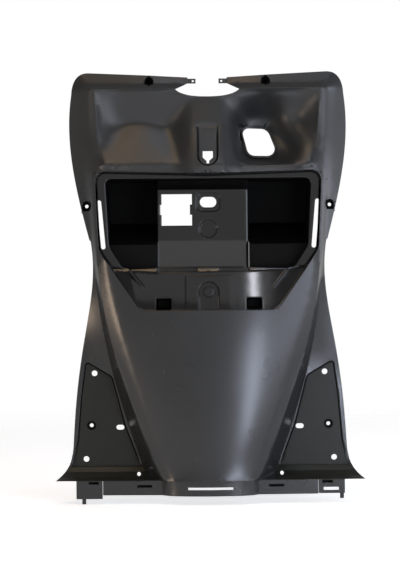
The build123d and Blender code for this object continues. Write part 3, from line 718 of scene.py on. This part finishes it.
def zones(mesh):
    """Number of each face's finish: 0 skin, 1 glove box, 2 pockets' painted shade, 3 trim seats, 4 back, 5
    box front.
    """
    count = len(mesh.polygons)
    middles, normals = np.empty(count * 3), np.empty(count * 3)
    mesh.polygons.foreach_get("center", middles)
    mesh.polygons.foreach_get("normal", normals)
    middles, normals = middles.reshape(-1, 3) / MM, normals.reshape(-1, 3)
    x, y, z = middles.T
    forward = normals[:, 1]
    lip = in_lip(x, z)
    beside = (x < BOX_X[0]) | (x > BOX_X[1]) | (z > BOX_TOP_Z) | (y > BOX_Y)
    pocket = lip & beside & (y > POCKET_FRONT_Y)
    inside = np.where(x[:, None] < 0, POCKET_LEFT, POCKET_RIGHT) - middles
    outer = pocket & (np.einsum("ij,ij->i", normals, inside) < 0) & (forward > -HALF_TURNED)
    seat = (np.abs(y - SEAT_Y) < SEAT_NEAR) & (forward < -FLAT) & (z < SEAT_TOP_Z)
    # Screw seats and hinge pockets take the pockets' near-black finish: painted shade in their holes
    near = [np.hypot(np.abs(x) - screw_x, z - screw_z) < reach for screw_x, screw_z, reach in SCREWS]
    screw = np.any(near, axis=0) & (forward < HALF_TURNED)
    hinge = (np.abs(x) > HINGE_X[0]) & (np.abs(x) < HINGE_X[1]) & (y > HINGE_Y)
    hinge &= (z > HINGE_Z[0]) & (z < HINGE_Z[1])
    # The upward-facing foot below the trim seats takes their etched finish, which mirrors less: painted shade
    toe = (np.abs(x) > TOE_X) & (z > TOE_Z[0]) & (z < TOE_Z[1]) & (forward < -BARELY)
    front = lip & (y > BOX_FRONT_Y) & (forward < -LEANING)
    box = lip & (forward < LEANING)
    back = forward > BARELY
    return np.select((outer, pocket | hinge, front, box, screw, seat | toe, back), (4, 2, 5, 1, 2, 3, 4), 0)


def hollow(piece):
    """Hollows a block or a boss from its front, so that it becomes a cup, and breaks its edges."""
    choose(piece)
    bpy.ops.object.transform_apply(location=True, rotation=True, scale=True)
    bpy.ops.object.mode_set(mode="EDIT")
    bpy.ops.mesh.select_mode(type="FACE")
    bpy.ops.mesh.select_all(action="DESELECT")
    bpy.ops.object.mode_set(mode="OBJECT")
    for face in piece.data.polygons:
        face.select = face.normal.y < -FLAT
    bpy.ops.object.mode_set(mode="EDIT")
    bpy.ops.mesh.inset(thickness=SOCKET_WALL * MM, depth=0.0)
    inwards = (0, (SOCKET_DEEP - SOCKET_WALL) * MM, 0)
    bpy.ops.mesh.extrude_region_move(TRANSFORM_OT_translate={"value": inwards})
    bpy.ops.object.mode_set(mode="OBJECT")
    edges = piece.modifiers.new("edges", "BEVEL")
    edges.width = SOCKET_EDGE * MM
    edges.segments = 2
    edges.limit_method = "ANGLE"
    bpy.ops.object.modifier_apply(modifier=edges.name)
    bpy.ops.object.shade_smooth_by_angle(angle=SOCKET_CREASE)


def pair(cup, x):
    """Hollows a cup at the left and copies it to the right."""
    hollow(cup)
    bpy.ops.object.duplicate()
    twin = bpy.context.object
    twin.location.x = 2 * x * MM
    bpy.ops.object.transform_apply(location=True, rotation=False, scale=False)
    return [cup, twin]


class SHIELD_OT_sockets(bpy.types.Operator):
    """Adds dark cups that close the foot's clip slots and the top screws' holes from behind, as painted shade
    """
    bl_idname = "shield.sockets"
    bl_label = "Blind sockets"

    def execute(self, context):
        # The cups take the pockets' near-black finish, so the holes show painted shade
        finish = unpolished_polypropylene(context.scene.shield_moulding)
        cups = []
        for x, y, z, length, height in SLOT_SOCKETS:
            bpy.ops.object.select_all(action="DESELECT")
            bpy.ops.mesh.primitive_cube_add(size=MM, location=(-x * MM, (y + SOCKET_DEEP / 2) * MM, z * MM),
                                            scale=(length, SOCKET_DEEP, height))
            cups += pair(context.object, x)
        x, y, z = SCREW_BOSS
        bpy.ops.object.select_all(action="DESELECT")
        bpy.ops.mesh.primitive_cylinder_add(vertices=BOSS_SIDES, radius=BOSS_RADIUS * MM,
                                            depth=SOCKET_DEEP * MM, rotation=(radians(90), 0, 0),
                                            location=(-x * MM, (y + SOCKET_DEEP / 2) * MM, z * MM))
        cups += pair(context.object, x)
        bpy.ops.object.select_all(action="DESELECT")
        for cup in cups:
            cup.select_set(True)
        context.view_layer.objects.active = cups[0]
        bpy.ops.object.join()
        piece = context.object
        piece.name = "blind_sockets"
        piece.data.materials.clear()
        piece.data.materials.append(finish)
        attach(piece, "root")
        return {"FINISHED"}


class SHIELD_OT_moulding(bpy.types.Operator):
    """Makes the moulding from the frame's panel, with soft creases, broken edges and its finishes"""
    bl_idname = "shield.moulding"
    bl_label = "Moulding"

    def execute(self, context):
        settings = context.scene.shield_moulding
        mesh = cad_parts[NODE].data.copy()
        piece = bpy.data.objects.new("moulded_shield", mesh)
        context.collection.objects.link(piece)
        weld(piece)
        for seat_y, rise in CHANNELS:
            sink_channel(piece, seat_y, rise, settings)
        refine(piece, settings.facet)
        shape_skin(piece, settings)
        shape_wings(piece, settings)
        mesh.materials.clear()
        for finish in (grained_polypropylene, polished_polypropylene, unpolished_polypropylene,
                       etched_polypropylene, plain_polypropylene, drawn_polypropylene):
            mesh.materials.append(finish(settings))
        mesh.polygons.foreach_set("material_index", zones(mesh))
        choose(piece)
        bpy.ops.object.shade_smooth_by_angle(angle=settings.crease)
        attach(piece, "root")
        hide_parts(NODE)
        return {"FINISHED"}


def softbox(name, place, aim, size, power, tint, roll):
    light = bpy.data.lights.new(name, "AREA")
    light.shape = "RECTANGLE"
    light.size, light.size_y = size
    light.energy = power
    light.color = linear(tint)
    lamp = bpy.data.objects.new(name, light)
    bpy.context.collection.objects.link(lamp)
    lamp.location = place
    facing = (Vector(aim) - Vector(place)).to_track_quat("-Z", "Y")
    lamp.rotation_euler = (facing @ Quaternion((0, 0, 1), roll)).to_euler()
    lamp.visible_camera = False


def studio_world(settings):
    """A white backdrop for the eye, and a soft room for the light, brighter low down and at the right."""
    world = bpy.data.worlds.new("studio")
    world.use_nodes = True
    tree = world.node_tree
    tree.nodes.clear()
    heading = add(tree, "ShaderNodeTexCoord").outputs["Generated"]
    axes = add(tree, "ShaderNodeSeparateXYZ", {"Vector": heading})
    rise = add(tree, "ShaderNodeMapRange", {"Value": axes.outputs["Z"], "From Min": ROOM_RISE[0],
                                            "From Max": ROOM_RISE[1], "To Min": settings.room,
                                            "To Max": settings.room * ROOM_TOP})
    across = add(tree, "ShaderNodeMapRange", {"Value": axes.outputs["X"], "From Min": -ROOM_SIDE,
                                              "From Max": ROOM_SIDE, "To Min": ROOM_SHARES[0],
                                              "To Max": ROOM_SHARES[1]})
    glow = add(tree, "ShaderNodeMath", {0: rise.outputs["Result"], 1: across.outputs["Result"]},
               operation="MULTIPLY")
    room = add(tree, "ShaderNodeBackground", {"Color": rgba(linear("#ffffff")),
                                              "Strength": glow.outputs["Value"]})
    backdrop = add(tree, "ShaderNodeBackground", {"Color": rgba(linear("#ffffff")), "Strength": 1.0})
    seen = add(tree, "ShaderNodeLightPath").outputs["Is Camera Ray"]
    mix = add(tree, "ShaderNodeMixShader", {0: seen, 1: room.outputs["Background"],
                                            2: backdrop.outputs["Background"]})
    add(tree, "ShaderNodeOutputWorld", {"Surface": mix.outputs["Shader"]})
    return world


def pale_floor(settings):
    """Matt pale paper that fades out at its rim, so no horizon shows."""
    material, tree = empty_material("pale_paper")
    place = add(tree, "ShaderNodeTexCoord").outputs["Object"]
    reach = add(tree, "ShaderNodeVectorMath", {0: place}, operation="LENGTH").outputs["Value"]
    inner, outer = (settings.floor_radius * share for share in FLOOR_FADE)
    outside = add(tree, "ShaderNodeMapRange", {"Value": reach, "From Min": inner, "From Max": outer},
                  interpolation_type="SMOOTHSTEP")
    # The paper glows for the eye alone, so that the part mirrors a greyer floor
    seen = add(tree, "ShaderNodeLightPath").outputs["Is Camera Ray"]
    glow = add(tree, "ShaderNodeMapRange", {"Value": seen, "To Min": FLOOR_GLOW[0], "To Max": FLOOR_GLOW[1]})
    paper = add(tree, "ShaderNodeBsdfPrincipled", {"Base Color": rgba(settings.floor), "Roughness": 0.9,
                                                   "Specular IOR Level": 0.1,
                                                   "Emission Strength": glow.outputs["Result"],
                                                   "Emission Color": rgba(settings.floor)})
    clear = add(tree, "ShaderNodeBsdfTransparent")
    mix = add(tree, "ShaderNodeMixShader", {0: outside.outputs["Result"], 1: paper.outputs["BSDF"],
                                            2: clear.outputs["BSDF"]})
    add(tree, "ShaderNodeOutputMaterial", {"Surface": mix.outputs["Shader"]})
    return material


class SHIELD_OT_stage(bpy.types.Operator):
    """Sets up the pale floor, the softboxes, the room and the camera"""
    bl_idname = "shield.stage"
    bl_label = "Stage"

    def execute(self, context):
        settings = context.scene.shield_stage
        bpy.ops.object.select_all(action="DESELECT")
        bpy.ops.mesh.primitive_circle_add(vertices=FLOOR_SIDES, radius=settings.floor_radius,
                                          fill_type="NGON")
        floor = context.object
        floor.name = "floor"
        floor.location.z = CAD_LOW.z
        floor.data.materials.append(pale_floor(settings))
        for name, place, aim, size, tint, roll in SOFTBOXES:
            softbox(name, place, aim, size, getattr(settings, name), tint, radians(roll))
        context.scene.world = studio_world(settings)
        lens = bpy.data.cameras.new("camera")
        lens.sensor_fit = "VERTICAL"
        lens.sensor_width = lens.sensor_height = SENSOR
        lens.lens = SENSOR * settings.distance / (IMAGE_HIGH * PIXEL)
        camera = bpy.data.objects.new("camera", lens)
        context.collection.objects.link(camera)
        camera.location = (PICTURE_MIDDLE_X, -settings.distance, PICTURE_MIDDLE_Z)
        camera.rotation_euler = (radians(90), settings.lean, 0)
        context.scene.camera = camera
        context.scene.view_settings.view_transform = "Standard"
        return {"FINISHED"}


class SHIELD_PT_panel(bpy.types.Panel):
    """Lists the steps and their settings"""
    bl_label = "Leg Shield"
    bl_space_type = "VIEW_3D"
    bl_region_type = "UI"
    bl_category = "Leg Shield"

    def draw(self, context):
        for steps, settings in (((SHIELD_OT_moulding, SHIELD_OT_sockets), context.scene.shield_moulding),
                                ((SHIELD_OT_stage,), context.scene.shield_stage)):
            box = self.layout.box()
            for step in steps:
                box.operator(step.bl_idname)
            for key in settings.__annotations__:
                box.prop(settings, key)


CLASSES = (MouldingSettings, StageSettings, SHIELD_OT_moulding, SHIELD_OT_sockets, SHIELD_OT_stage,
           SHIELD_PT_panel)


def register():
    for item in CLASSES:
        bpy.utils.register_class(item)
    bpy.types.Scene.shield_moulding = bpy.props.PointerProperty(type=MouldingSettings)
    bpy.types.Scene.shield_stage = bpy.props.PointerProperty(type=StageSettings)


def unregister():
    del bpy.types.Scene.shield_moulding
    del bpy.types.Scene.shield_stage
    for item in reversed(CLASSES):
        bpy.utils.unregister_class(item)


def main():
    register()
    bpy.ops.shield.moulding()
    bpy.ops.shield.sockets()
    bpy.ops.shield.stage()


if __name__ == "__main__":
    main()
